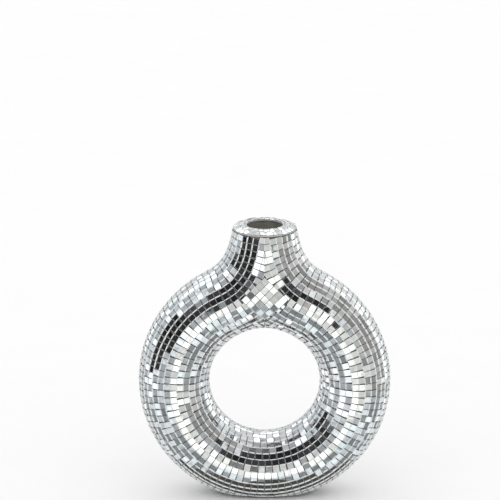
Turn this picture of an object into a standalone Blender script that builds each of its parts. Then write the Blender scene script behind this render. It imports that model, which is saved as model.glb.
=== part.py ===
"""A ring vase with a short open neck, clad all over in small square mirror tiles."""

import math

import bmesh
import bpy
import numpy as np

# Sizes in metres. The mirrors' outer face is the face that these describe.
RING_RADIUS = 0.072  # from the middle of the hole to the middle of the tube
TUBE_RADIUS = 0.028
NECK_RISE = 0.026  # from the top of the ring to the rim
RIM_RADIUS = 0.0252
NECK_FLARE = 0.002  # how much wider the neck grows on its way down
NECK_FLARE_LENGTH = 0.016
SHOULDER_BLEND = 0.037  # how softly the neck runs out into the ring
FOOT_FLAT_DEPTH = 0.0073  # cut off the bottom of the ring, so that it stands

# The hollow casting
WALL = 0.004
MOUTH_RADIUS = 0.014  # inside the mirrors, which turn over the lip
MOUTH_DRAFT = 0.0015  # how much wider the mouth's bore grows on its way down
LIP_RISE = 0.003  # from the outer edge of the rim up to the lip's crest
LIP_ROUND = 0.002  # how softly the lip turns down into the mouth
LIP_FULLNESS = 1.3  # the slope up to the crest: 1 is straight, 2 is an ellipse
LIP_TURN_IN = 0.0005  # how far the mirrors run straight down inside the mouth

# The mirror mosaic
TILE = 0.005
GROUT = 0.00017
SKIN = 0.0015  # a tile with the adhesive under it
FIT = 0.0003  # left between one piece and the next
RIM_ROUND = 0.0005  # the worn outer corner of the pieces on the rim

# The pad under the foot
PAD_THICKNESS = 0.0015
PAD_MARGIN = 0.003  # from the foot's edge to the pad's

# How finely the faces follow the form
TURN_PER_FACE = 0.127
LENGTH_PER_FACE = 0.012
MARCH_STEP = 0.0013
TRACE_STEP = 0.0004
SNAP = 0.00001
RIM_SIDES = 32
CAVITY_SIDES = 36
CAVITY_TUBE_SIDES = 12
PAD_SIDES = 36

# Places that follow from the sizes
FOOT_HEIGHT = PAD_THICKNESS + FIT
RING_HEIGHT = FOOT_HEIGHT + RING_RADIUS + TUBE_RADIUS - FOOT_FLAT_DEPTH
RIM_HEIGHT = RING_HEIGHT + RING_RADIUS + TUBE_RADIUS + NECK_RISE
CASTING_TOP = RIM_HEIGHT - SKIN
STRIPS = round((math.pi * TUBE_RADIUS / (TILE + GROUT) - 1) / 2)
ROW = math.pi * TUBE_RADIUS / (2 * STRIPS + 1)
FLAT_HALF_WIDTH = TUBE_RADIUS * math.acos(1 - FOOT_FLAT_DEPTH / TUBE_RADIUS)
EXTRA_ROWS = 3  # where the shoulder makes the way round the tube longer


def unit(vectors):
    return vectors / np.linalg.norm(vectors, axis=-1, keepdims=True)


def ring_distance(points):
    """How far points lie outside the plain ring, and the ring's direction outwards there."""
    x, y, z = points[..., 0], points[..., 1], points[..., 2] - RING_HEIGHT
    out = np.hypot(x, z)
    away = np.hypot(out - RING_RADIUS, y)
    share = (out - RING_RADIUS) / away / out
    return away - TUBE_RADIUS, np.stack([share * x, y / away, share * z], axis=-1)


def neck_distance(points):
    """The same for the neck, which ends as a ball inside the top of the ring."""
    x, y, z = points[..., 0], points[..., 1], points[..., 2]
    below = np.minimum(z - RING_HEIGHT - RING_RADIUS, 0)
    spoke = np.stack([x, y, below], axis=-1)
    down = np.minimum(np.maximum(RIM_HEIGHT - z, 0), RIM_HEIGHT - RING_HEIGHT - RING_RADIUS)
    radius = RIM_RADIUS + NECK_FLARE * (1 - np.exp(-down / NECK_FLARE_LENGTH))
    return np.linalg.norm(spoke, axis=-1) - radius, unit(spoke)


def distance(points):
    """How far points lie outside the mirrors' face. Ring and neck blend where they meet at an angle."""
    ring, ring_out = ring_distance(points)
    neck, neck_out = neck_distance(points)
    blend = SHOULDER_BLEND * (1 - (ring_out * neck_out).sum(axis=-1)) + SNAP
    share = np.clip(0.5 + 0.5 * (neck - ring) / blend, 0, 1)
    return neck + (ring - neck) * share - blend * share * (1 - share)


def slope(points):
    """The rate at which the distance grows along X, Y and Z."""
    steps = np.eye(3) * SNAP
    rates = [(distance(points + step) - distance(points - step)) for step in steps]
    return np.stack(rates, axis=-1) / (2 * SNAP)


def onto_level(points, level):
    """Moves points square to the face until they lie at this distance from it."""
    for _ in range(4):
        rate = slope(points)
        points = points - rate * ((distance(points) - level) / (rate**2).sum(axis=-1))[..., None]
    return points


def outline_stations():
    """Points down the right side of the outline, from above the rim to under the ring's middle."""
    spot = onto_level(np.array([[RIM_RADIUS, 0.0, RIM_HEIGHT + LIP_RISE]]), 0)
    heading = np.array([[0.0, 0.0, -1.0]])
    spots, costs = [spot[0]], [0.0]
    while spot[0, 0] > 0:
        ahead = onto_level(spot + heading * TRACE_STEP, 0)
        turned = unit(ahead - spot)
        bend = math.acos(min(1.0, float((turned * heading).sum())))
        costs.append(costs[-1] + max(TRACE_STEP / LENGTH_PER_FACE, bend / TURN_PER_FACE))
        spot, heading = ahead, turned
        spots.append(spot[0])
    spots, costs = np.array(spots[:-1]), np.array(costs[:-1])
    marks = np.linspace(0, costs[-1], math.ceil(costs[-1]) + 1)
    stations = np.stack([np.interp(marks, costs, spots[:, axis]) for axis in range(3)], axis=-1)
    stations[-1] = [0, 0, RING_HEIGHT - RING_RADIUS - TUBE_RADIUS]
    return onto_level(stations, 0)


def march(stations, lengths):
    """Carries the stations over the face towards the front, and returns them at each length on the way."""
    points, gone, lines = stations, 0.0, {}
    heading = np.tile([0.0, -1.0, 0.0], (len(stations), 1))
    for length in sorted(lengths):
        steps = max(1, math.ceil((length - gone) / MARCH_STEP))
        for _ in range(steps):
            points = onto_level(points + heading * ((length - gone) / steps), 0)
            out = unit(slope(points))
            heading = unit(heading - out * (heading * out).sum(axis=-1, keepdims=True))
        gone = length
        lines[length] = points
    return lines


def mesh_between(lines, under=False):
    """An open quarter of face through the lines, facing out. One that lies under another keeps low."""
    grid = bmesh.new()
    rows = [[grid.verts.new(point) for point in line] for line in lines]
    for near, far in zip(rows, rows[1:]):
        for i in range(len(near) - 1):
            corners = [near[i], far[i], far[i + 1], near[i + 1]]
            if not under:
                grid.faces.new(corners)
                continue
            middles = [(corners[0].co + corners[2].co) / 2, (corners[1].co + corners[3].co) / 2]
            heights = distance(np.array([tuple(middle) for middle in middles]))
            turn = corners if heights[0] < heights[1] else corners[1:] + corners[:1]
            grid.faces.new(turn[:3])
            grid.faces.new([turn[0], turn[2], turn[3]])
    grid.normal_update()
    first = next(iter(grid.faces))
    if np.dot(first.normal, slope(np.array([first.calc_center_median()]))[0]) < 0:
        bmesh.ops.reverse_faces(grid, faces=grid.faces[:])
    return grid


def keep_side(grid, point, towards):
    """Cuts the mesh along a plane and keeps the side that the direction points to."""
    everything = grid.verts[:] + grid.edges[:] + grid.faces[:]
    bmesh.ops.bisect_plane(
        grid, geom=everything, dist=SNAP, plane_co=point, plane_no=towards, clear_inner=True
    )


def add_mirrored(grid, axis):
    """Joins the mesh to its reflection across the plane square to an axis."""
    twins = {}
    for vertex in grid.verts[:]:
        if abs(vertex.co[axis]) < SNAP:
            vertex.co[axis] = 0
            twins[vertex] = vertex
        else:
            reflected = vertex.co.copy()
            reflected[axis] *= -1
            twins[vertex] = grid.verts.new(reflected)
    for face in grid.faces[:]:
        grid.faces.new([twins[vertex] for vertex in reversed(face.verts)])


def turned_over(grid, axis):
    """Replaces the mesh by its reflection."""
    for vertex in grid.verts:
        vertex.co[axis] = -vertex.co[axis]
    bmesh.ops.reverse_faces(grid, faces=grid.faces[:])


def close_openings(grid):
    bmesh.ops.holes_fill(grid, edges=[edge for edge in grid.edges if edge.is_boundary], sides=0)
    bmesh.ops.recalc_face_normals(grid, faces=grid.faces[:])


def add_object(name, mesh_source, collection, material=None):
    mesh = bpy.data.meshes.new(name)
    mesh_source.to_mesh(mesh)
    mesh_source.free()
    piece = bpy.data.objects.new(name, mesh)
    collection.objects.link(piece)
    if material:
        mesh.materials.append(material)
    return piece


def as_cutter(piece):
    piece.hide_render = True
    piece.display_type = "WIRE"


def cut_with(piece, cutter):
    cut = piece.modifiers.new(cutter.name, "BOOLEAN")
    cut.operation = "DIFFERENCE"
    cut.solver = "EXACT"
    cut.object = cutter


def add_revolved(name, profile, sides, collection, material=None):
    """Turns a profile of (radius, height), top to bottom on its outer side, round the upright axis."""
    outline = bmesh.new()
    corners = [outline.verts.new((radius, 0, height)) for radius, height in profile]
    for here, there in zip(corners, corners[1:]):
        outline.edges.new((here, there))
    if profile[0][0] > 0:
        outline.edges.new((corners[-1], corners[0]))
    piece = add_object(name, outline, collection, material)
    turn = piece.modifiers.new("Turn", "SCREW")
    turn.steps = turn.render_steps = sides
    turn.use_merge_vertices = True
    turn.merge_threshold = SNAP
    return piece


def new_material(name, colour, roughness, metallic=0.0):
    material = bpy.data.materials.new(name)
    material.use_nodes = True
    shader = material.node_tree.nodes["Principled BSDF"]
    shader.inputs["Base Color"].default_value = (*colour, 1)
    shader.inputs["Roughness"].default_value = roughness
    shader.inputs["Metallic"].default_value = metallic
    material.diffuse_color = (*colour, 1)
    return material


# Start from an empty scene.
for leftover in list(bpy.data.objects):
    bpy.data.objects.remove(leftover)
scene = bpy.context.scene
vase = bpy.data.collections.new("disco_ball_vase")
helpers = bpy.data.collections.new("cutters")
scene.collection.children.link(vase)
scene.collection.children.link(helpers)
helpers.hide_render = True

# The rows of tiles run parallel to the outline. One row is as wide as a tile and its grout.
stations = outline_stations()
row_lengths = [ROW * row for row in range(2 * STRIPS + 2 + EXTRA_ROWS)]
edge_lengths = [ROW * row + side * FIT / 2 for row in range(1, 2 * STRIPS + 2, 2) for side in (-1, 1)]
lines = march(stations, row_lengths + edge_lengths)


# Ceramic body: one hollow casting, ring and neck together, flat under the foot, open at the mouth.
casting_lines = [onto_level(lines[ROW * row], -SKIN) for row in range(0, 2 * STRIPS + 2 + EXTRA_ROWS, 2)]
casting = mesh_between(casting_lines, under=True)
keep_side(casting, (0, 0, 0), (1, 0, 0))
keep_side(casting, (0, 0, 0), (0, -1, 0))
add_mirrored(casting, 0)
add_mirrored(casting, 1)
keep_side(casting, (0, 0, RIM_HEIGHT + LIP_RISE - SKIN / 2), (0, 0, -1))
keep_side(casting, (0, 0, FOOT_HEIGHT), (0, 0, 1))
close_openings(casting)
glaze = new_material("glazed_ceramic", (0.86, 0.85, 0.82), 0.35)
ceramic_body = add_object("ceramic_body", casting, vase, glaze)

# Its cavity runs right round the ring, one wall inside the face, with a flat floor over the foot.
bpy.ops.mesh.primitive_torus_add(
    major_radius=RING_RADIUS,
    minor_radius=TUBE_RADIUS - SKIN - WALL,
    major_segments=CAVITY_SIDES,
    minor_segments=CAVITY_TUBE_SIDES,
    location=(0, 0, RING_HEIGHT),
    rotation=(math.pi / 2, 0, 0),
)
primitive = bpy.context.object
cavity_mesh = bmesh.new()
cavity_mesh.from_mesh(primitive.data)
bpy.context.view_layer.update()
cavity_mesh.transform(primitive.matrix_world)
bpy.data.objects.remove(primitive)
keep_side(cavity_mesh, (0, 0, FOOT_HEIGHT + WALL), (0, 0, 1))
close_openings(cavity_mesh)
ring_cavity = add_object("ring_cavity", cavity_mesh, helpers)
as_cutter(ring_cavity)
cut_with(ceramic_body, ring_cavity)


def lip_line(depth, outer_angles, inner_angles):
    """The lip's section, this deep under its face: up to the crest, then down into the mouth."""
    crest = MOUTH_RADIUS + LIP_ROUND
    edge_height = RIM_HEIGHT - depth / 2
    crest_height = RIM_HEIGHT + LIP_RISE - depth
    line = []
    for angle in np.radians(outer_angles):
        outwards, upwards = math.cos(angle) ** (2 / LIP_FULLNESS), math.sin(angle) ** (2 / LIP_FULLNESS)
        radius = crest + (RIM_RADIUS - depth - crest) * outwards
        line.append((radius, edge_height + (crest_height - edge_height) * upwards))
    for angle in np.radians(inner_angles):
        bend = LIP_ROUND - depth
        radius = crest - bend * math.sin(angle)
        line.append((radius, RIM_HEIGHT + LIP_RISE - LIP_ROUND + bend * math.cos(angle)))
    return line


# The mouth is turned in one: the rounded lip, and the bore from there down into the cavity.
casting_lip = lip_line(SKIN, (20, 45, 90), (90,))
edge_radius, edge_height = casting_lip[0]
clear_radius = RIM_RADIUS + SKIN
clear_height = RIM_HEIGHT + TUBE_RADIUS
bore_bottom = RING_HEIGHT + RING_RADIUS
mouth_profile = [
    (0, clear_height),
    (clear_radius, clear_height),
    (clear_radius, edge_height - (clear_radius - edge_radius)),
    *casting_lip,
    (MOUTH_RADIUS + SKIN + MOUTH_DRAFT, bore_bottom),
    (0, bore_bottom),
]
mouth_cutter = add_revolved("mouth_cutter", mouth_profile, RIM_SIDES, helpers)
as_cutter(mouth_cutter)
cut_with(ceramic_body, mouth_cutter)


# Mirror strips: sheets of glass tiles two rows wide, laid side by side from the outline inwards.
# Those nearest the outline stop at the foot and at the rim, so they are separate left and right.
def strip_surface(number, split):
    """A quarter of the numbered strip, trimmed to the rim, the foot and its neighbours."""
    first_row = 2 * number - 1
    rows = [ROW * (first_row + 1)]
    if number == 0:
        between = [0.0, ROW - FIT / 2]
    elif number == STRIPS:
        rows += [ROW * (first_row + 1 + extra) for extra in range(1, EXTRA_ROWS + 2)]
        between = [ROW * first_row + FIT / 2] + rows
    else:
        between = [ROW * first_row + FIT / 2] + rows + [ROW * (first_row + 2) - FIT / 2]
    on_ring = np.abs(ring_distance(stations)[0]) < SNAP
    last = len(stations) - 1
    coarse = 2 * first_row > 1.2 * (2 * STRIPS + 1)
    kept = [i for i in range(len(stations)) if not (coarse and on_ring[i] and (last - i) % 2)]
    grid = mesh_between([lines[length][kept] for length in between])
    keep_side(grid, (FIT / 2 if split else 0, 0, 0), (1, 0, 0))
    keep_side(grid, (0, 0, CASTING_TOP), (0, 0, -1))
    keep_side(grid, (0, 0, FOOT_HEIGHT + FIT), (0, 0, 1))
    if number == STRIPS:
        keep_side(grid, (0, -FIT / 2, 0), (0, -1, 0))
    return grid


def add_strip(name, grid):
    """Gives the strip's face its thickness, leaving the adhesive's gap under it."""
    piece = add_object(name, grid, vase, new_material(name, (0.78, 0.81, 0.84), 0.06, 1.0))
    body = piece.modifiers.new("Thickness", "SOLIDIFY")
    body.thickness = SKIN - FIT
    body.offset = -1
    return piece


for side in ("left", "right"):
    strip = strip_surface(0, True)
    add_mirrored(strip, 1)
    if side == "left":
        turned_over(strip, 0)
    add_strip(f"mirror_strip_outer_{side}", strip)

for face in ("front", "back"):
    for number in range(1, STRIPS + 1):
        cut_by_foot = ROW * (2 * number + 1) < FLAT_HALF_WIDTH + ROW / 4
        for side in ("left", "right") if cut_by_foot else ("",):
            strip = strip_surface(number, cut_by_foot)
            if not cut_by_foot:
                add_mirrored(strip, 0)
            if side == "left":
                turned_over(strip, 0)
            if face == "back":
                turned_over(strip, 1)
            add_strip("_".join(filter(None, ["mirror_strip", face, str(number), side])), strip)


# Rim mosaic: a ring of mirror pieces that turns over the lip, from its outer edge into the mouth.
rim_under = CASTING_TOP + FIT
rim_inner_end = RIM_HEIGHT + LIP_RISE - LIP_ROUND - LIP_TURN_IN
rim_thickness = SKIN - FIT
rim_profile = [
    (MOUTH_RADIUS, rim_inner_end),
    *lip_line(0, (15, 45, 90), (45, 90))[::-1],
    (RIM_RADIUS, RIM_HEIGHT - RIM_ROUND),
    (RIM_RADIUS, rim_under),
    (RIM_RADIUS - rim_thickness, rim_under),
    *lip_line(rim_thickness, (0, 20, 45, 90), (90,)),
    (MOUTH_RADIUS + rim_thickness, rim_inner_end),
]
rim_mirror = new_material("rim_mirror", (0.80, 0.83, 0.85), 0.06, 1.0)
add_revolved("rim_mosaic", rim_profile, RIM_SIDES, vase, rim_mirror)

# Foot pad: a soft oval glued under the flat of the foot, which the vase stands on.
flat_drop = RING_HEIGHT - FOOT_HEIGHT
casting_tube = TUBE_RADIUS - SKIN
pad_half_length = math.sqrt((RING_RADIUS + casting_tube) ** 2 - flat_drop**2) - PAD_MARGIN
pad_half_depth = math.sqrt(casting_tube**2 - (flat_drop - RING_RADIUS) ** 2) - PAD_MARGIN
bpy.ops.mesh.primitive_cylinder_add(
    vertices=PAD_SIDES, radius=1, depth=1, location=(0, 0, PAD_THICKNESS / 2)
)
foot_pad = bpy.context.object
foot_pad.name = "foot_pad"
foot_pad.scale = (pad_half_length, pad_half_depth, PAD_THICKNESS)
foot_pad.data.materials.append(new_material("pad_felt", (0.05, 0.05, 0.055), 0.95))
for owner in list(foot_pad.users_collection):
    owner.objects.unlink(foot_pad)
vase.objects.link(foot_pad)
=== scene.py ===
"""Disco ball vase: a hollow ceramic ring with a short neck, clad all over in square mirror tiles."""

import math

import bmesh
import bpy
import numpy as np
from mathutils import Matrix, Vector


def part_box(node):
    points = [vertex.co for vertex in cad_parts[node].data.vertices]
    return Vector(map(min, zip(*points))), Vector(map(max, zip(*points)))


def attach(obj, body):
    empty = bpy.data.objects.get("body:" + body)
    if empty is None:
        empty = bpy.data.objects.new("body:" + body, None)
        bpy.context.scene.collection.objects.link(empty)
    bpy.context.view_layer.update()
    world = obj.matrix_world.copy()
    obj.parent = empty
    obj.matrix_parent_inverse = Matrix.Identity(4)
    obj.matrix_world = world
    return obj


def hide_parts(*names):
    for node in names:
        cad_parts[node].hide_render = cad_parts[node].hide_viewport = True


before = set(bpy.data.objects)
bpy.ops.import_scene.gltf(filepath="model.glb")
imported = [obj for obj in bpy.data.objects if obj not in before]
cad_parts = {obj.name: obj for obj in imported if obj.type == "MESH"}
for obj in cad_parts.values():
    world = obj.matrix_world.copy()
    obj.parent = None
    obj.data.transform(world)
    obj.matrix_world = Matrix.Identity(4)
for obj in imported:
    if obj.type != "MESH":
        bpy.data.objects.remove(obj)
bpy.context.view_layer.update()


# Ceramic body: one slip casting, ring and neck together, glazed outside and down the mouth.
# The mirrors cover all of its outside, so its glaze shows only inside the mouth and round the pad.
# Its dark olive colour is painted shade: the mouth's inside is coloured as dark as its shadow.
PAINTED_SHADE_GLAZE_DARK = (0.20, 0.20, 0.17)
PAINTED_SHADE_GLAZE_PALE = (0.34, 0.33, 0.28)
GLAZE_CLOUDS = 0.012
GLAZE_GLOSS_CLOUDS = 0.003
GLAZE_ROUGHNESS = (0.3, 0.5)
GLAZE_WAVES = 0.002
GLAZE_WAVE_HEIGHT = 0.00004
CLOUD_RANGE = (0.3, 0.7)


def new_finish(name):
    """A material to build on, with its node tree and its shader."""
    finish = bpy.data.materials.new(name)
    finish.use_nodes = True
    return finish, finish.node_tree, finish.node_tree.nodes["Principled BSDF"]


def mottle(tree, size, low, high, detail=4.0, seed=None):
    """A cloudy pattern, whose clouds are about this size in metres, running from low to high."""
    place = tree.nodes.new("ShaderNodeTexCoord")
    clouds = tree.nodes.new("ShaderNodeTexNoise")
    clouds.inputs["Scale"].default_value = 1 / size
    clouds.inputs["Detail"].default_value = detail
    tree.links.new(place.outputs["Object"], clouds.inputs["Vector"])
    if seed is not None:
        clouds.noise_dimensions = "4D"
        tree.links.new(seed, clouds.inputs["W"])
    spread = tree.nodes.new("ShaderNodeMapRange")
    spread.inputs["From Min"].default_value, spread.inputs["From Max"].default_value = CLOUD_RANGE
    spread.inputs["To Min"].default_value = low
    spread.inputs["To Max"].default_value = high
    tree.links.new(clouds.outputs["Fac"], spread.inputs["Value"])
    return spread.outputs["Result"]


def colour_between(tree, shader, share, dark, pale):
    """Colours the surface from dark to pale as the pattern goes from 0 to 1."""
    blend = tree.nodes.new("ShaderNodeMix")
    blend.data_type = "RGBA"
    blend.inputs["A"].default_value = (*dark, 1)
    blend.inputs["B"].default_value = (*pale, 1)
    tree.links.new(share, blend.inputs["Factor"])
    tree.links.new(blend.outputs["Result"], shader.inputs["Base Color"])


def raise_surface(tree, shader, pattern, height):
    """Makes the surface uneven by this height in metres."""
    bump = tree.nodes.new("ShaderNodeBump")
    bump.inputs["Distance"].default_value = height
    tree.links.new(pattern, bump.inputs["Height"])
    tree.links.new(bump.outputs["Normal"], shader.inputs["Normal"])


glaze, tree, shader = new_finish("glazed_ceramic")
colour_between(tree, shader, mottle(tree, GLAZE_CLOUDS, 0, 1), PAINTED_SHADE_GLAZE_DARK, PAINTED_SHADE_GLAZE_PALE)
tree.links.new(mottle(tree, GLAZE_GLOSS_CLOUDS, *GLAZE_ROUGHNESS), shader.inputs["Roughness"])
raise_surface(tree, shader, mottle(tree, GLAZE_WAVES, 0, 1), GLAZE_WAVE_HEIGHT)
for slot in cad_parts["ceramic_body"].material_slots:
    slot.material = glaze


# Lattice panel: five by five squares of silvered glass laid on their corners, front and back, in
# the crotch of the neck, where the strips of both sides run into each other. Each square is set
# by hand in adhesive, a little out of true, and shows the ground edges of its glass.
RING_RADIUS = 0.072
TUBE_RADIUS = 0.028
NECK_RISE = 0.026
RIM_RADIUS = 0.0252
LIP_RISE = 0.003
NECK_FLARE = 0.002
NECK_FLARE_LENGTH = 0.016
SHOULDER_BLEND = 0.037
ROWS_ROUND_HALF = 17
ROW = math.pi * TUBE_RADIUS / ROWS_ROUND_HALF
SNAP = 0.00001
LEVEL_ROUNDS = 4
TILE_LENGTH = 0.00492
TILE_WIDTH = 0.0048
GLASS = 0.00146
SILVER_DEPTH = 0.0005
ARRIS = 0.00006
ROW_ARRIS_SHARE = 0.05
ROW_SPREAD_SHARE = 0.09
BESIDE_ROW = 0.7
SHARPEST_CORNER = 0.4
USUAL_TILT = 0.024
ODD_TILT = 0.05
ODD_SHARE = 0.16
MOST_LEAN = 2
TURN = 0.012
SLIP = 0.00006
PANEL_TILES = 5
PANEL_HEIGHT = 0.0775
PANEL_WALK_STEPS = 8
HALF_DIAGONAL = ROW / math.sqrt(2)
CUT_EDGE_SLOT = 1
ADHESIVE_AND_SHADE_SLOT = 2
SILVER_DULL = (0.74, 0.77, 0.78)
SILVER_BRIGHT = (0.95, 0.96, 0.96)
SILVER_CLOUDS = 0.004
SILVER_ROUGHNESS = (0.02, 0.09)
SILVER_WAVES = 0.006
SILVER_WAVE_HEIGHT = 0.00001
TONE_STEP = 40
EDGE_DARK = (0.95, 0.965, 0.965)
EDGE_PALE = (0.99, 0.99, 0.99)
EDGE_CLOUDS = 0.0008
EDGE_GLOSS_CLOUDS = 0.0005
EDGE_ROUGHNESS = (0.3, 0.6)
EDGE_GRAIN = 0.0004
EDGE_GRAIN_HEIGHT = 0.00002
ADHESIVE_DARK = (0.10, 0.105, 0.11)
ADHESIVE_PALE = (0.24, 0.245, 0.25)
ADHESIVE_CLOUDS = 0.002
ADHESIVE_ROUGHNESS = 0.85
ADHESIVE_GRAIN = 0.0006
ADHESIVE_GRAIN_HEIGHT = 0.00008

rim_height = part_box("rim_mosaic")[1][2] - LIP_RISE
ring_height = rim_height - NECK_RISE - TUBE_RADIUS - RING_RADIUS


def unit(vectors):
    """The same directions, each of length 1."""
    return vectors / np.linalg.norm(vectors, axis=-1, keepdims=True)


def ring_distance(points):
    """How far points lie outside the plain ring, and the ring's direction outwards there."""
    x, y, z = points[..., 0], points[..., 1], points[..., 2] - ring_height
    out = np.hypot(x, z)
    away = np.hypot(out - RING_RADIUS, y)
    share = (out - RING_RADIUS) / away / out
    return away - TUBE_RADIUS, np.stack([share * x, y / away, share * z], axis=-1)


def neck_distance(points):
    """The same for the neck, which ends as a ball inside the top of the ring."""
    x, y, z = points[..., 0], points[..., 1], points[..., 2]
    spoke = np.stack([x, y, np.minimum(z - ring_height - RING_RADIUS, 0)], axis=-1)
    down = np.clip(rim_height - z, 0, rim_height - ring_height - RING_RADIUS)
    radius = RIM_RADIUS + NECK_FLARE * (1 - np.exp(-down / NECK_FLARE_LENGTH))
    return np.linalg.norm(spoke, axis=-1) - radius, unit(spoke)


def distance(points):
    """How far points lie outside the mirrors' face, where ring and neck run softly together."""
    ring, ring_out = ring_distance(points)
    neck, neck_out = neck_distance(points)
    blend = SHOULDER_BLEND * (1 - (ring_out * neck_out).sum(axis=-1)) + SNAP
    share = np.clip(0.5 + 0.5 * (neck - ring) / blend, 0, 1)
    return neck + (ring - neck) * share - blend * share * (1 - share)


def slope(points):
    """The rate at which the distance grows along X, Y and Z."""
    steps = np.eye(3) * SNAP
    rates = [distance(points + step) - distance(points - step) for step in steps]
    return np.stack(rates, axis=-1) / (2 * SNAP)


def onto_level(points, level=0.0):
    """Moves points square to the face until they lie at this distance from it."""
    for _ in range(LEVEL_ROUNDS):
        rate = slope(points)
        points = points - rate * ((distance(points) - level) / (rate**2).sum(axis=-1))[..., None]
    return points


def walk(points, headings, length, steps):
    """Carries points over the face by a length, each straight ahead."""
    for _ in range(steps):
        points = onto_level(points + headings * (length / steps))
        out = unit(slope(points))
        headings = unit(headings - out * (headings * out).sum(axis=-1, keepdims=True))
    return points, headings


def set_square(place, along, out, chance):
    """The corners and the facing of one square, set by hand a little out of true."""
    across = np.cross(out, along)
    tilt = ODD_TILT if chance.random() < ODD_SHARE else USUAL_TILT
    lean = np.clip(chance.normal(size=2), -MOST_LEAN, MOST_LEAN) * tilt
    facing = unit(out + along * lean[0] + across * lean[1])
    along = unit(along + TURN * chance.normal() * across)
    along = unit(along - facing * (along @ facing))
    across = np.cross(facing, along)
    place = place + SLIP * (along * chance.normal() + across * chance.normal())
    a, b = along * TILE_LENGTH / 2, across * TILE_WIDTH / 2
    return np.array([place - a - b, place + a - b, place + a + b, place - a + b]), facing


def panel_squares(chance):
    """The panel's tiles on the front, as corners and facing."""
    reach = PANEL_TILES // 2
    steps = [(i, j) for i in range(-reach, reach + 1) for j in range(-reach, reach + 1)]
    middle = onto_level(np.array([[0.0, -RING_RADIUS, ring_height + PANEL_HEIGHT]]))
    upwards = unit(np.cross(unit(slope(middle)), [[-1.0, 0.0, 0.0]]))
    squares = []
    for i, j in steps:
        place, rise = walk(middle, upwards, (i + j) * HALF_DIAGONAL, PANEL_WALK_STEPS)
        sideways = np.cross(rise, unit(slope(place)))
        place, sideways = walk(place, sideways, (i - j) * HALF_DIAGONAL, PANEL_WALK_STEPS)
        out = unit(slope(place))
        rise = np.cross(out, sideways)
        squares.append(set_square(place[0], unit(rise + sideways)[0], out[0], chance))
    return squares


def drawn_in(corners, facing, width):
    """The outline of a flat piece, drawn in all round by a width."""
    inwards = np.cross(facing, unit(np.roll(corners, -1, axis=0) - corners))
    before = np.roll(inwards, 1, axis=0)
    sharp = np.maximum(1 + (inwards * before).sum(axis=-1), SHARPEST_CORNER)
    return corners + (inwards + before) * (width / sharp)[:, None]


def set_glass(sheet, corners, facing, tone, silver_depth=SILVER_DEPTH, row=None):
    """One piece of mirror: its cut edges all round, and the silver that shows through its face.
    In a row, its long edges are ground wider and slope outwards, so that the joints beside the row
    show pale glass. The cut edges in its tight cross joints take the adhesive's dark grey as painted
    shade. Its outer sides, except those beside a row, take the same grey: the adhesive between the
    tiles, with painted shade on the glass."""
    across = np.zeros(3) if row is None else unit(np.cross(facing, row))
    from_middle = np.outer((corners - corners.mean(axis=0)) @ across, across)
    inner = drawn_in(corners, facing, ARRIS) - from_middle * ROW_ARRIS_SHARE
    base = corners - facing * GLASS + from_middle * ROW_SPREAD_SHARE
    loops = [base, corners, inner, inner - facing * silver_depth]
    edges = unit(np.roll(corners, -1, axis=0) - corners)
    beside_row = np.abs(np.cross(facing, edges) @ across) > BESIDE_ROW
    rings = [[sheet.verts.new(corner) for corner in loop] for loop in loops]
    tones = sheet.faces.layers.float["tone"]
    faces = [sheet.faces.new(rings[-1])]
    for low, high in zip(rings, rings[1:]):
        for i in range(len(corners)):
            j = (i + 1) % len(corners)
            faces.append(sheet.faces.new([low[i], low[j], high[j], high[i]]))
            # The adhesive's dark grey on these walls is painted shade: all shade on the cross joints'
            # cut edges, and adhesive with painted shade on the outer sides.
            adhesive_and_shade_wall = low is rings[0] or (low is rings[2] and row is not None)
            faces[-1].material_index = ADHESIVE_AND_SHADE_SLOT if adhesive_and_shade_wall and not beside_row[i] else CUT_EDGE_SLOT
    for face in faces:
        face[tones] = tone


def new_sheet():
    """An empty sheet of tiles, which keeps the tone of each tile."""
    sheet = bmesh.new()
    sheet.faces.layers.float.new("tone")
    return sheet


def turned_back(corners, facing):
    """The same tile on the back of the vase."""
    return corners[::-1] * (1, -1, 1), facing * (1, -1, 1)


def add_piece(name, sheet, finishes):
    """Makes the sheet an object that stands on the vase's body."""
    mesh = bpy.data.meshes.new(name)
    sheet.to_mesh(mesh)
    sheet.free()
    for finish in finishes:
        mesh.materials.append(finish)
    piece = bpy.data.objects.new(name, mesh)
    bpy.context.scene.collection.objects.link(piece)
    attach(piece, "root")
    return piece


def tile_tone(tree):
    """The tone of the tile, from 0 to 1."""
    attribute = tree.nodes.new("ShaderNodeAttribute")
    attribute.attribute_name = "tone"
    return attribute.outputs["Fac"]


def scaled(tree, value, factor):
    """A number in the finish, times a factor."""
    product = tree.nodes.new("ShaderNodeMath")
    product.operation = "MULTIPLY"
    product.inputs[1].default_value = factor
    tree.links.new(value, product.inputs[0])
    return product.outputs[0]


silver, tree, shader = new_finish("silvered_glass")
shader.inputs["Metallic"].default_value = 1
tone = tile_tone(tree)
colour_between(tree, shader, tone, SILVER_DULL, SILVER_BRIGHT)
seed = scaled(tree, tone, TONE_STEP)
gloss = mottle(tree, SILVER_CLOUDS, *SILVER_ROUGHNESS, seed=seed)
tree.links.new(gloss, shader.inputs["Roughness"])
waves = mottle(tree, SILVER_WAVES, 0, 1, detail=1.0, seed=seed)
raise_surface(tree, shader, waves, SILVER_WAVE_HEIGHT)

cut_edge, tree, shader = new_finish("cut_glass_edge")
colour_between(tree, shader, mottle(tree, EDGE_CLOUDS, 0, 1), EDGE_DARK, EDGE_PALE)
tree.links.new(mottle(tree, EDGE_GLOSS_CLOUDS, *EDGE_ROUGHNESS), shader.inputs["Roughness"])
raise_surface(tree, shader, mottle(tree, EDGE_GRAIN, 0, 1), EDGE_GRAIN_HEIGHT)

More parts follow.
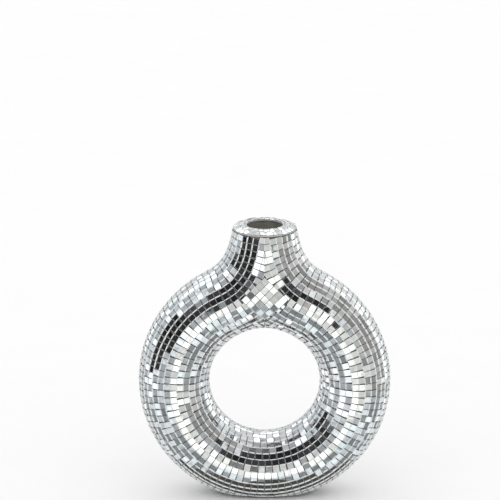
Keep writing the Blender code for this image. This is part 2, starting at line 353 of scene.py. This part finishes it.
# Grey adhesive. Its dark grey also colours the glass walls in the tight joints, as painted shade.
adhesive_and_shade, tree, shader = new_finish("grey_adhesive_and_shade")
colour_between(tree, shader, mottle(tree, ADHESIVE_CLOUDS, 0, 1), ADHESIVE_DARK, ADHESIVE_PALE)
shader.inputs["Roughness"].default_value = ADHESIVE_ROUGHNESS
raise_surface(tree, shader, mottle(tree, ADHESIVE_GRAIN, 0, 1), ADHESIVE_GRAIN_HEIGHT)
mosaic_finishes = [silver, cut_edge, adhesive_and_shade]

panels = {}
for face, seed_number in (("front", 3), ("back", 4)):
    chance = np.random.default_rng(seed_number)
    panels[face] = panel_squares(chance)
    sheet = new_sheet()
    for square in panels[face]:
        set_glass(sheet, *(square if face == "front" else turned_back(*square)), chance.random())
    panel = add_piece(f"lattice_panel_{face}", sheet, mosaic_finishes)


# Mirror strips: the same squares, laid two abreast in strips that run the long way round the ring
# from one side of the neck to the other. Their cross joints run straight over a pair of tiles and
# open where the form is wider. The two outermost strips are cut by the foot.
EXTRA_ROWS = 3
STRIPS = (ROWS_ROUND_HALF - 1) // 2
PITCH = 0.00514
JOINT = 0.00024
BED_DEPTH = 0.00138
NECK_STRIPS = 4
HALF_ROWS_IN_PAIR = 4
STATION_SPACING = 0.0008
BED_THINNING = 3
LEAST_TILE_AREA = 0.0000016
NEAR_PANEL = 1.5 * TILE_LENGTH
BACK_SEED = 100

lip_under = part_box("rim_mosaic")[0][2]
foot_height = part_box("ceramic_body")[0][2]


def outline_stations():
    """Points down the right side of the outline, from above the rim to under the ring's middle."""
    spot = onto_level(np.array([[RIM_RADIUS, 0.0, rim_height + TILE_LENGTH]]))
    heading = np.array([[0.0, 0.0, -1.0]])
    stations = [spot[0]]
    while spot[0, 0] > 0:
        spot, heading = walk(spot, heading, STATION_SPACING, 1)
        stations.append(spot[0])
    stations[-1] = np.array([0, 0, ring_height - RING_RADIUS - TUBE_RADIUS])
    return np.array(stations)


def row_lines(stations):
    """Lines over the face beside the outline, half a row apart, towards the front."""
    points, headings = stations, np.tile([0.0, -1.0, 0.0], (len(stations), 1))
    lines = [points]
    for _ in range(2 * (ROWS_ROUND_HALF + EXTRA_ROWS)):
        points, headings = walk(points, headings, ROW / 2, 2)
        lines.append(points)
    return lines


lines = row_lines(outline_stations())


def whole_line(row):
    """A line from one side of the neck round the ring to the other. Rows below 0 are on the back."""
    right = lines[round(2 * abs(row))] * (1, 1 if row >= 0 else -1, 1)
    return np.concatenate([right[:-1] * (-1, 1, 1), right[::-1]])


def pair_places(number, chance):
    """Where along the strip each pair of tiles sits, spaced so that the tighter side just fits.
    Where the strip reaches the rim, it starts and ends there with a whole tile."""
    first_row = 2 * number - 1
    gaps = []
    for half in range(HALF_ROWS_IN_PAIR + 1):
        line = whole_line(first_row + half / 2)
        crossed = line[:, 0] * np.sign(np.arange(len(line)) - len(line) // 2) < -TILE_WIDTH / 4
        gap = np.linalg.norm(np.diff(line, axis=0), axis=-1)
        gaps.append(np.where(crossed[1:] & crossed[:-1], np.inf, gap))
    tightest = np.min(gaps, axis=0)
    tightest[np.isinf(tightest)] = STATION_SPACING
    travelled = np.concatenate([[0], np.cumsum(tightest)])
    if number > NECK_STRIPS:
        marks = np.arange(chance.uniform(0, PITCH), travelled[-1], PITCH)
    else:
        top_tile = lip_under - JOINT - TILE_LENGTH / 2
        under_rim = np.flatnonzero(whole_line(2 * number)[:, 2] < top_tile)
        first, last = travelled[under_rim[0]], travelled[under_rim[-1]]
        marks = np.linspace(first, last, int((last - first) / PITCH) + 1)
    return np.interp(marks, travelled, np.arange(len(travelled)))


def cut(corners, point, keep):
    """What is left of a flat piece on the kept side of a straight cut."""
    heights = (corners - point) @ np.asarray(keep, float)
    left = []
    for i, height in enumerate(heights):
        j = (i + 1) % len(corners)
        if height >= 0:
            left.append(corners[i])
        if (height >= 0) != (heights[j] >= 0):
            left.append(corners[i] + (corners[j] - corners[i]) * (height / (height - heights[j])))
    return np.array(left).reshape(-1, 3)


def area(corners):
    """The area of a flat piece."""
    if len(corners) < 3:
        return 0.0
    spokes = corners[1:] - corners[0]
    return np.linalg.norm(np.cross(spokes[:-1], spokes[1:]).sum(axis=0)) / 2


def cut_round(corners, other, facing):
    """Cuts a tile back from one that is already laid, along whichever edge wastes the least."""
    best = corners[:0]
    for i in range(len(other)):
        edge = unit(other[(i + 1) % len(other)] - other[i])
        outwards = np.cross(edge, facing)
        if ((corners - other[i]) @ outwards).min() > 0:
            return corners
        trial = cut(corners, other[i] + outwards * JOINT, outwards)
        if area(trial) > area(best):
            best = trial
    return best


def without_stubs(corners):
    """Leaves out corners that lie almost on the one before."""
    gaps = np.linalg.norm(corners - np.roll(corners, 1, axis=0), axis=-1)
    return corners[gaps > 2 * ARRIS]


def along_line(line, places):
    """Points on a line at fractional places."""
    return np.stack([np.interp(places, np.arange(len(line)), line[:, i]) for i in range(3)], axis=-1)


def strip_tiles(number, face, chance):
    """One strip's tiles, cut to the rim, the foot, the middle and the panel: corners, facing, the
    way their row runs, and their side."""
    places = pair_places(number, chance)
    rows = [2 * number - 0.5, 2 * number + 0.5]
    if number == STRIPS:
        rows += [ROWS_ROUND_HALF + 0.5 + extra for extra in range(EXTRA_ROWS)]
    tiles = []
    for row in rows:
        line = whole_line(row)
        spots = onto_level(along_line(line, places))
        outs = unit(slope(spots))
        runs = unit(along_line(line, places + 0.5) - along_line(line, places - 0.5))
        sides = np.where(places < len(line) // 2, -1, 1)
        for spot, out, run, side in zip(spots, outs, runs, sides):
            corners, facing = set_square(spot, unit(run - out * (run @ out)), out, chance)
            corners = cut(corners, (0, 0, lip_under), (0, 0, -1))
            corners = cut(corners, (0, 0, foot_height + JOINT), (0, 0, 1))
            if spot[2] > ring_height:
                corners = cut(corners, (side * JOINT / 2, 0, 0), (side, 0, 0))
            if number == STRIPS:
                corners = cut(corners, (0, -JOINT / 2, 0), (0, -1, 0))
            if number > 1:
                for laid, _ in panels[face]:
                    if len(corners) and np.linalg.norm(laid.mean(axis=0) - spot) < NEAR_PANEL:
                        corners = cut_round(corners, laid, facing)
            corners = without_stubs(corners)
            if area(corners) > LEAST_TILE_AREA:
                tiles.append((corners, facing, run, side))
    return tiles


def bed_grid(number):
    """The top of the adhesive under one strip, on the right of the front."""
    last_row = 2 * number + 1 + (EXTRA_ROWS if number == STRIPS else 0)
    bed = bmesh.new()
    rows = []
    for half in range(4 * number - 2, 2 * last_row + 1):
        line = lines[abs(half)] * (1, 1 if half >= 0 else -1, 1)
        thinned = np.concatenate([line[:-1:BED_THINNING], line[-1:]])
        rows.append([bed.verts.new(point) for point in onto_level(thinned, -BED_DEPTH)])
    for near, far in zip(rows, rows[1:]):
        for i in range(len(near) - 1):
            bed.faces.new([near[i], near[i + 1], far[i + 1], far[i]])
    cuts = [((0, 0, 0), (1, 0, 0)), ((0, 0, lip_under), (0, 0, -1)), ((0, 0, foot_height), (0, 0, 1))]
    if number == STRIPS:
        cuts.append(((0, 0, 0), (0, -1, 0)))
    for point, towards in cuts:
        everything = bed.verts[:] + bed.edges[:] + bed.faces[:]
        bmesh.ops.bisect_plane(
            bed, geom=everything, dist=SNAP, plane_co=point, plane_no=towards, clear_inner=True
        )
    return bed


def spread_bed(sheet, bed, turns):
    """Adds the adhesive to a sheet, once for each turn across X and Y."""
    for across_x, across_y in turns:
        corners = {}
        for vert in bed.verts:
            x, y, z = vert.co
            corners[vert] = sheet.verts.new((x * across_x, y * across_y, z))
        for face in bed.faces:
            loop = [corners[vert] for vert in face.verts]
            added = sheet.faces.new(loop if across_x * across_y < 0 else loop[::-1])
            added.material_index = ADHESIVE_AND_SHADE_SLOT
            added.smooth = True


SIDE_SIGNS = {"left": -1, "right": 1}


def add_strips(number, face, ends_at_foot):
    """Lays a strip and adds its piece, or its left and right pieces if the foot cuts it."""
    chance = np.random.default_rng(BACK_SEED * (face == "back") + number)
    tiles = strip_tiles(number, face, chance)
    depth_sign = -1 if face == "back" else 1
    bed = bed_grid(number)
    for side in ("left", "right") if ends_at_foot else ("",):
        sheet = new_sheet()
        for corners, facing, run, tile_side in tiles:
            if not side or tile_side == SIDE_SIGNS[side]:
                square = (corners, facing) if depth_sign > 0 else turned_back(corners, facing)
                set_glass(sheet, *square, chance.random(), row=run * (1, depth_sign, 1))
        turns = [(sign, depth_sign) for sign in ([SIDE_SIGNS[side]] if side else (-1, 1))]
        spread_bed(sheet, bed, turns)
        node = "_".join(filter(None, [face, str(number) if number else "", side]))
        piece = add_piece(f"tiles_{node}", sheet, mosaic_finishes)
        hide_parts(f"mirror_strip_{node}")
    bed.free()


add_strips(0, "outer", True)
for face in ("front", "back"):
    for number in range(1, STRIPS + 1):
        add_strips(number, face, number == 1)


# Rim mosaic: broken pieces of the same mirror, set by hand in adhesive over the rounded lip. Two
# rows lie on its slope, the outer one trimmed to the edge of the rim, and a row of slivers turns
# down into the mouth. A bead of pale grout ends them inside the mouth and under the outer edge.
MOUTH_RADIUS = 0.014
LIP_ROUND = 0.002
LIP_FULLNESS = 1.3
LIP_SINK = 0.00012
LIP_BED_DEPTH = 0.00105
LIP_BED_THICKNESS = 0.00012
LIP_JOINT = 0.00030
LIP_TILT = 0.05
# Each row of shards: its share of the way from the crest to the outer edge, and how many it has.
SHARD_ROWS = ((0.74, 31), (0.25, 25))
SHARD_SHIFT = 0.09
SHARD_STRAY = 0.27
SHARD_REACH = 0.006
LIP_SEED = 11
TRIM_TURNS = (-0.15, -0.05, 0.05, 0.15)
SLOPE_STEP = 0.001
SLIVER_COUNT = 24
SLIVER_STRAY = 0.3
SLIVER_DEGREES = 50
SLIVER_SILVER_DEPTH = 0.0003
LIP_BED_SHARES = (1, 0.97, 0.9, 0.8, 0.6, 0.4, 0.2)
LIP_SIDES = 96
GROUT_SLOT = 3
MOUTH_BEAD = 0.0008
# The grout inside the mouth: degrees down from the crest, and how far it swells there.
MOUTH_BEAD_LINE = ((0, 0), (25, 0), (50, 0), (58, MOUTH_BEAD), (90, MOUTH_BEAD))
EDGE_BEAD_INSET = 0.00005
EDGE_BEAD_DROP = 0.0003
EDGE_BEAD_ROUND = 0.0001
GROUT_DARK = (0.44, 0.40, 0.38)
GROUT_PALE = (0.62, 0.58, 0.55)
GROUT_CLOUDS = 0.0015
GROUT_ROUGHNESS = 0.85
GROUT_GRAIN = 0.0005
GROUT_GRAIN_HEIGHT = 0.00006

lip_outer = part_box("rim_mosaic")[1][0]
crest_radius = MOUTH_RADIUS + LIP_ROUND


def round_spot(radius, angle, height=0.0):
    """A spot at this radius and angle round the upright axis."""
    return np.array([radius * math.cos(angle), radius * math.sin(angle), height])


def slope_height(radius, depth=0.0):
    """How high the lip stands at this radius between its crest and its outer edge."""
    share = min(max((radius - crest_radius) / (lip_outer - depth - crest_radius), 0.0), 1.0)
    upwards = (1 - share**LIP_FULLNESS) ** (1 / LIP_FULLNESS)
    return rim_height - depth / 2 + (LIP_RISE - depth / 2) * upwards


def turned_in(degrees, angle, depth=0.0):
    """A spot on the lip's round, so many degrees from its crest down towards the mouth."""
    bend, turn = LIP_ROUND - depth, math.radians(degrees)
    radius = crest_radius - bend * math.sin(turn)
    return round_spot(radius, angle, rim_height + LIP_RISE - LIP_ROUND + bend * math.cos(turn))


def shards(chance):
    """The broken pieces on the slope, as corners and facing: each takes the room nearest to it."""
    seeds = []
    reach = lip_outer - crest_radius
    for share, count in SHARD_ROWS:
        for i in range(count):
            radius = crest_radius + reach * (share + chance.uniform(-SHARD_SHIFT, SHARD_SHIFT))
            angle = 2 * math.pi * (i + chance.uniform(-SHARD_STRAY, SHARD_STRAY)) / count
            seeds.append(round_spot(radius, angle))
    pieces = []
    square = np.array([(-1, -1, 0), (1, -1, 0), (1, 1, 0), (-1, 1, 0)]) * SHARD_REACH
    for seed_spot in seeds:
        corners = seed_spot + square
        for other in seeds:
            if 0 < np.linalg.norm(other - seed_spot) < 2 * SHARD_REACH:
                corners = cut(corners, (seed_spot + other) / 2, seed_spot - other)
        angle = math.atan2(seed_spot[1], seed_spot[0])
        for turn in TRIM_TURNS:
            outwards = round_spot(1, angle + turn)
            corners = cut(corners, outwards * lip_outer, -outwards)
        outwards = round_spot(1, angle)
        corners = without_stubs(cut(corners, outwards * crest_radius, outwards))
        middle = corners.mean(axis=0)
        radius = np.hypot(*middle[:2])
        fall = slope_height(radius + SLOPE_STEP) - slope_height(radius - SLOPE_STEP)
        rate = fall / (2 * SLOPE_STEP)
        lean = chance.normal(size=2).clip(-MOST_LEAN, MOST_LEAN) * LIP_TILT
        facing = unit(-rate * outwards + (lean[0], lean[1], 1))
        rises = -((corners - middle) @ facing) / facing[2] + slope_height(radius) - LIP_SINK
        pieces.append((corners + np.outer(rises, (0, 0, 1)), facing))
    return pieces


def slivers(chance):
    """The narrow pieces that turn down into the mouth, as corners and facing."""
    pieces = []
    spacing = 2 * math.pi / SLIVER_COUNT
    strays = [chance.uniform(-SLIVER_STRAY, SLIVER_STRAY) for _ in range(SLIVER_COUNT)]
    ends = [spacing * (i + stray) for i, stray in enumerate(strays)]
    for start, end in zip(ends, ends[1:] + [ends[0] + 2 * math.pi]):
        top = [turned_in(0, start), turned_in(0, end)]
        foot = [turned_in(SLIVER_DEGREES, end), turned_in(SLIVER_DEGREES, start)]
        corners = np.array(top + foot)
        pieces.append((corners, unit(np.cross(corners[1] - corners[0], corners[2] - corners[1]))))
    return pieces


def turned_ring(sheet, profile, sides, finish_index):
    """Turns a closed profile of (radius, height) round the upright axis."""
    rings = []
    for radius, height in profile:
        spots = [round_spot(radius, 2 * math.pi * i / sides, height) for i in range(sides)]
        rings.append([sheet.verts.new(spot) for spot in spots])
    for low, high in zip(rings, rings[1:] + rings[:1]):
        for i in range(sides):
            j = (i + 1) % sides
            face = sheet.faces.new([low[i], low[j], high[j], high[i]])
            face.material_index = finish_index
            face.smooth = True


def lip_bed_line(depth):
    """The section of the adhesive's surface, this deep under the mirrors' face."""
    line = []
    for share in LIP_BED_SHARES:
        radius = crest_radius + (lip_outer - depth - crest_radius) * share
        line.append((radius, slope_height(radius, depth)))
    for degrees, swell in MOUTH_BEAD_LINE:
        spot = turned_in(degrees, 0, depth - swell)
        line.append((spot[0], spot[2]))
    return line


chance = np.random.default_rng(LIP_SEED)
lip = new_sheet()
for corners, facing in shards(chance):
    corners = drawn_in(corners, facing, LIP_JOINT / 2)
    set_glass(lip, corners, facing, chance.random())
for corners, facing in slivers(chance):
    corners = drawn_in(corners, facing, LIP_JOINT / 2)
    set_glass(lip, corners, facing, chance.random(), SLIVER_SILVER_DEPTH)
lip_bed_top = lip_bed_line(LIP_BED_DEPTH)
lip_bed_bottom = lip_bed_line(LIP_BED_DEPTH + LIP_BED_THICKNESS)
bead = lip_outer - EDGE_BEAD_INSET
outer_edge = [
    (bead, lip_under), (bead, rim_height - EDGE_BEAD_DROP),
    (bead - EDGE_BEAD_ROUND, rim_height - EDGE_BEAD_ROUND),
]
lip_profile = outer_edge + lip_bed_top + lip_bed_bottom[::-1] + [(lip_bed_bottom[0][0], lip_under)]
turned_ring(lip, lip_profile, LIP_SIDES, GROUT_SLOT)

pale_grout, tree, shader = new_finish("pale_grout")
colour_between(tree, shader, mottle(tree, GROUT_CLOUDS, 0, 1), GROUT_DARK, GROUT_PALE)
shader.inputs["Roughness"].default_value = GROUT_ROUGHNESS
raise_surface(tree, shader, mottle(tree, GROUT_GRAIN, 0, 1), GROUT_GRAIN_HEIGHT)
rim_mosaic = add_piece("rim_shards", lip, [silver, cut_edge, adhesive_and_shade, pale_grout])
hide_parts("rim_mosaic")


# Foot pad: an oval of dark pressed felt, a little smaller than the flat of the foot. It is cut
# with softly rounded edges and glued on, and the vase stands on it.
PAD_EDGE = 0.0005
PAD_EDGE_MIDDLE = 0.3 * PAD_EDGE
PAD_SIDES = 96
FELT_DARK = (0.03, 0.03, 0.033)
FELT_PALE = (0.09, 0.09, 0.095)
FELT_FLECKS = 0.0006
FELT_FIBRES = 0.0004
FELT_FIBRE_HEIGHT = 0.0002
FELT_ROUGHNESS = 0.95
FELT_SHEEN = 0.4
FELT_DETAIL = 8.0

pad_low, pad_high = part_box("foot_pad")
pad = bmesh.new()
pad_loops = []
for inset, height in (
    (PAD_EDGE, 0), (PAD_EDGE_MIDDLE, PAD_EDGE_MIDDLE), (0, PAD_EDGE),
    (0, pad_high[2] - PAD_EDGE), (PAD_EDGE_MIDDLE, pad_high[2] - PAD_EDGE_MIDDLE),
    (PAD_EDGE, pad_high[2]),
):
    half_width, half_depth = pad_high[0] - inset, pad_high[1] - inset
    loop = []
    for i in range(PAD_SIDES):
        angle = 2 * math.pi * i / PAD_SIDES
        loop.append(pad.verts.new((half_width * math.cos(angle), half_depth * math.sin(angle), height)))
    pad_loops.append(loop)
pad.faces.new(pad_loops[0][::-1])
pad.faces.new(pad_loops[-1])
for low, high in zip(pad_loops, pad_loops[1:]):
    for i in range(PAD_SIDES):
        j = (i + 1) % PAD_SIDES
        pad.faces.new([low[i], low[j], high[j], high[i]])

felt, tree, shader = new_finish("pad_felt")
colour_between(tree, shader, mottle(tree, FELT_FLECKS, 0, 1, detail=FELT_DETAIL), FELT_DARK, FELT_PALE)
shader.inputs["Roughness"].default_value = FELT_ROUGHNESS
shader.inputs["Sheen Weight"].default_value = FELT_SHEEN
raise_surface(tree, shader, mottle(tree, FELT_FIBRES, 0, 1, detail=FELT_DETAIL), FELT_FIBRE_HEIGHT)
foot_pad = add_piece("felt_pad", pad, [felt])
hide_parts("foot_pad")


# Floor: a plain sweep of pale paper under the vase, which keeps the vase's soft shadow. The mirrors
# don't see it: what they show below them is the room of the next section.
FLOOR_REACH = 6.0
FLOOR_SIDES = 96
PAPER_CLOUDS = 0.05
PAPER_DARK = (0.985, 0.985, 0.985)
PAPER_PALE = (0.995, 0.995, 0.995)
PAPER_ROUGHNESS = 0.9

floor_mesh = bmesh.new()
bmesh.ops.create_circle(floor_mesh, cap_ends=True, segments=FLOOR_SIDES, radius=FLOOR_REACH)
floor_data = bpy.data.meshes.new("floor")
floor_mesh.to_mesh(floor_data)
floor_mesh.free()
paper, tree, shader = new_finish("pale_paper")
colour_between(tree, shader, mottle(tree, PAPER_CLOUDS, 0, 1), PAPER_DARK, PAPER_PALE)
shader.inputs["Specular IOR Level"].default_value = 0
shader.inputs["Roughness"].default_value = PAPER_ROUGHNESS
floor_data.materials.append(paper)
floor = bpy.data.objects.new("floor", floor_data)
bpy.context.scene.collection.objects.link(floor)
floor.visible_glossy = False


# Studio: even white light from all round, in front of plain white. The mirrors show the room that
# it stands in: pale sheets behind the vase, on its left and low in front, grey walls on its right
# and below, and the dark in front of it.
WHITE = (1.0, 1.0, 1.0)
PLAIN_LIGHT = 1.0
BACKDROP_LIGHT = 1.0
ROOM_LIGHT = (0.54, 0.57, 0.59)
ROOM_CLUTTER = 1.0
PATCH_SCALE = 11
PATCH_RANGE = (0.48, 0.57)
PATCH_STRENGTHS = (-0.28, 1.6)
BOARD_SQUARENESS = 5
# Each board: azimuth and elevation of its middle, half its width and height, all in degrees,
# the softness of its edge, its colour, and how cluttered it is. Azimuth 0 is in front of the
# vase and 90 on its right.
BOARDS = (
    (180, 32, 75, 45, 0.35, (0.88, 0.9, 0.9), 0.75),
    (-118, 25, 36, 40, 0.5, (0.62, 0.68, 0.72), 0.9),
    (72, 22, 38, 50, 0.35, (0.35, 0.34, 0.33), 0.5),
    (0, -45, 200, 17, 0.4, (0.34, 0.37, 0.38), 1.1),
    (-4, 64, 46, 11, 0.2, (0.16, 0.16, 0.16), 0.9),
    (-12, 30, 39, 30, 0.1, (0.022, 0.022, 0.024), 0.9),
    (12, -10, 23, 14, 0.2, (0.82, 0.82, 0.78), 0.55),
)

scene = bpy.context.scene
scene.view_settings.view_transform = "Standard"
studio = bpy.data.worlds.new("studio")
scene.world = studio
studio.use_nodes = True
tree = studio.node_tree
tree.nodes.clear()


def calc(operation, *values):
    """A number worked out from other numbers in the room."""
    step = tree.nodes.new("ShaderNodeMath")
    step.operation = operation
    for socket, value in zip(step.inputs, values):
        if isinstance(value, (int, float)):
            socket.default_value = value
        else:
            tree.links.new(value, socket)
    return step.outputs[0]


def blend_colour(share, first, second):
    """The first colour, or the second as the share goes to 1."""
    blend = tree.nodes.new("ShaderNodeMix")
    blend.data_type = "RGBA"
    tree.links.new(share, blend.inputs["Factor"])
    for socket, colour in ((blend.inputs["A"], first), (blend.inputs["B"], second)):
        if isinstance(colour, tuple):
            socket.default_value = (*colour, 1)
        else:
            tree.links.new(colour, socket)
    return blend.outputs["Result"]


directions = tree.nodes.new("ShaderNodeTexCoord")
split = tree.nodes.new("ShaderNodeSeparateXYZ")
tree.links.new(directions.outputs["Generated"], split.inputs[0])
azimuth = calc("DEGREES", calc("ARCTAN2", split.outputs["X"], calc("MULTIPLY", split.outputs["Y"], -1)))
elevation = calc("DEGREES", calc("ARCSINE", split.outputs["Z"]))
unevenness = tree.nodes.new("ShaderNodeTexNoise")
unevenness.inputs["Scale"].default_value = PATCH_SCALE
tree.links.new(directions.outputs["Generated"], unevenness.inputs["Vector"])
room, clutter = ROOM_LIGHT, ROOM_CLUTTER
for board_azimuth, board_elevation, half_width, half_height, softness, colour, cluttered in BOARDS:
    sideways = calc("WRAP", calc("SUBTRACT", azimuth, board_azimuth), 180, -180)
    sideways = calc("ABSOLUTE", calc("DIVIDE", sideways, half_width))
    upwards = calc("DIVIDE", calc("SUBTRACT", elevation, board_elevation), half_height)
    upwards = calc("ABSOLUTE", upwards)
    powers = [calc("POWER", way, BOARD_SQUARENESS) for way in (sideways, upwards)]
    out_from_middle = calc("POWER", calc("ADD", *powers), 1 / BOARD_SQUARENESS)
    edge = tree.nodes.new("ShaderNodeMapRange")
    edge.interpolation_type = "SMOOTHSTEP"
    edge.inputs["From Min"].default_value = 1 + softness
    edge.inputs["From Max"].default_value = 1 - softness
    tree.links.new(out_from_middle, edge.inputs["Value"])
    room = blend_colour(edge.outputs["Result"], room, colour)
    change = calc("SUBTRACT", cluttered, clutter)
    clutter = calc("ADD", clutter, calc("MULTIPLY", change, edge.outputs["Result"]))
patches = tree.nodes.new("ShaderNodeMapRange")
patches.interpolation_type = "SMOOTHSTEP"
patches.inputs["From Min"].default_value, patches.inputs["From Max"].default_value = PATCH_RANGE
patches.inputs["To Min"].default_value, patches.inputs["To Max"].default_value = PATCH_STRENGTHS
tree.links.new(unevenness.outputs["Fac"], patches.inputs["Value"])
uneven = calc("ADD", calc("MULTIPLY", patches.outputs["Result"], clutter), 1)


def light(colour, strength):
    """Light of a colour and a strength, each plain or worked out in the room."""
    source = tree.nodes.new("ShaderNodeBackground")
    for socket, value in ((source.inputs["Color"], colour), (source.inputs["Strength"], strength)):
        if isinstance(value, tuple):
            socket.default_value = (*value, 1)
        elif isinstance(value, (int, float)):
            socket.default_value = value
        else:
            tree.links.new(value, socket)
    return source.outputs[0]


def choose(share, first, second):
    """The first light, or the second where the share is 1."""
    mix = tree.nodes.new("ShaderNodeMixShader")
    tree.links.new(share, mix.inputs[0])
    tree.links.new(first, mix.inputs[1])
    tree.links.new(second, mix.inputs[2])
    return mix.outputs[0]


rays = tree.nodes.new("ShaderNodeLightPath")
seen_white = calc("MAXIMUM", rays.outputs["Is Camera Ray"], rays.outputs["Is Transmission Ray"])
lit = choose(seen_white, light(WHITE, PLAIN_LIGHT), light(WHITE, BACKDROP_LIGHT))
straight = calc("LESS_THAN", rays.outputs["Diffuse Depth"], 0.5)
in_mirror = calc("MULTIPLY", rays.outputs["Is Glossy Ray"], straight)
mirrored = choose(in_mirror, lit, light(room, uneven))
output = tree.nodes.new("ShaderNodeOutputWorld")
tree.links.new(mirrored, output.inputs["Surface"])


# Dark cards: two curved sheets stand close beside the vase, a wide one on its left and a narrow
# one on its right, and a dark oval, a painted shadow of the vase, lies on the floor round its foot.
# Only the mirrors see them: how far up a tile sits decides what of them it shows, as with anything
# near in a real room.
CARD_RADIUS = 0.27
# Each curved card: the azimuths of its two ends in degrees, how high its lower edge is at each of
# them, and how high its upper edge is.
CURVED_CARDS = ((-84, -25, 0.065, 0.16, 0.24), (26, 34, 0.15, 0.17, 0.215))
CARD_PARTS = 24
OVAL_HALF_WIDTH = 0.09
OVAL_HALF_DEPTH = 0.0485
OVAL_HEIGHT = 0.0003
OVAL_SIDES = 64
CARD_CLOUDS = 0.016

curves = bmesh.new()
for first, last, first_foot, last_foot, top in CURVED_CARDS:
    edges = []
    for share in np.linspace(0, 1, CARD_PARTS + 1):
        turn = math.radians(first + (last - first) * share)
        foot = first_foot + (last_foot - first_foot) * share
        x, y = CARD_RADIUS * math.sin(turn), -CARD_RADIUS * math.cos(turn)
        edges.append([curves.verts.new((x, y, height)) for height in (foot, top)])
    for (low, high), (next_low, next_high) in zip(edges, edges[1:]):
        curves.faces.new([low, next_low, next_high, high])
oval = bmesh.new()
bmesh.ops.create_circle(oval, cap_ends=True, segments=OVAL_SIDES, radius=1)
bmesh.ops.scale(oval, vec=(OVAL_HALF_WIDTH, OVAL_HALF_DEPTH, 1), verts=oval.verts)
bmesh.ops.translate(oval, vec=(0, 0, OVAL_HEIGHT), verts=oval.verts)
for name, card, dark, pale in (
    ("curved_cards", curves, (0.004, 0.004, 0.004), (0.05, 0.05, 0.05)),
    # The oval is painted shadow: the vase's own shadow on the floor, as the mirrors show it.
    ("painted_foot_shadow", oval, (0.075, 0.075, 0.066), (0.125, 0.125, 0.11)),
):
    card_data = bpy.data.meshes.new(name)
    card.to_mesh(card_data)
    card.free()
    card_finish, tree, shader = new_finish(name)
    colour_between(tree, shader, mottle(tree, CARD_CLOUDS, 0, 1), dark, pale)
    shader.inputs["Specular IOR Level"].default_value = 0
    card_data.materials.append(card_finish)
    card_object = bpy.data.objects.new(name, card_data)
    scene.collection.objects.link(card_object)
    card_object.visible_camera = card_object.visible_diffuse = card_object.visible_shadow = False
    card_object.visible_transmission = False


# Camera: a long lens in front of the vase, above it by the photograph's angle, framed a little to
# the left of the vase and over it.
CAMERA_DISTANCE = 3.4
CAMERA_ELEVATION = math.radians(18)
FRAME_SIDE = 0.3984
FRAME_LEFT = 0.0117
FRAME_UP = 0.1028
SENSOR = 36.0

camera_data = bpy.data.cameras.new("camera")
camera_data.sensor_width = SENSOR
camera_data.lens = SENSOR * CAMERA_DISTANCE / FRAME_SIDE
camera_data.clip_end = 100
camera = bpy.data.objects.new("camera", camera_data)
scene.collection.objects.link(camera)
rise, reach = math.sin(CAMERA_ELEVATION), math.cos(CAMERA_ELEVATION)
ring_middle = Vector((0, 0, ring_height))
camera.location = ring_middle + Vector((0, -reach, rise)) * CAMERA_DISTANCE
aim = ring_middle + Vector((-FRAME_LEFT, FRAME_UP * rise, FRAME_UP * reach))
camera.rotation_euler = (aim - camera.location).to_track_quat("-Z", "Y").to_euler()
scene.camera = camera
